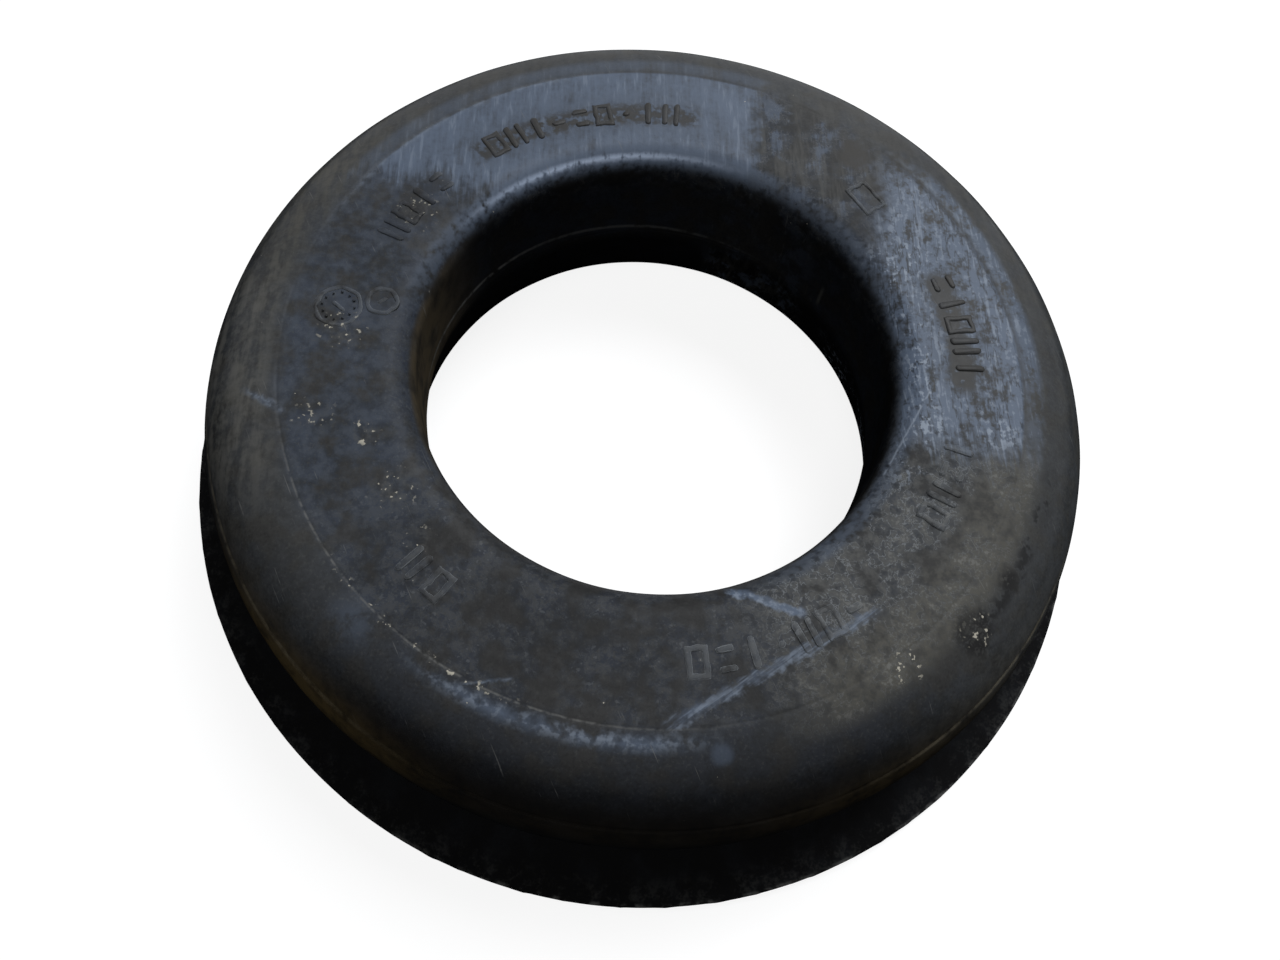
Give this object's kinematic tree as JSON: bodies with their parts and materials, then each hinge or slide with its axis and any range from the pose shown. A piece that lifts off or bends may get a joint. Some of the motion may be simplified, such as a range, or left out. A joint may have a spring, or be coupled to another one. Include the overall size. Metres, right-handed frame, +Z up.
{
  "type": "coil spring rubber mount",
  "caption": "Moulded rubber ring that cushions the end of a coil spring: flat face, rounded bulb, groove around the neck, thin flared flange, and a bore that widens towards the foot.",
  "frame": {"origin": "centre of the foot, on the bore's axis, at the level of the foot's flat underside", "axes": "+Z up along the bore's axis, from the foot to the flat top face; the ring is round about it"},
  "size_m": [0.138, 0.138, 0.0305],
  "materials": {
    "rubber": "matt black moulded rubber, scuffed and stained"
  },
  "bodies": {
    "root": {"rubber_ring": "rubber"}
  },
  "joints": []
}
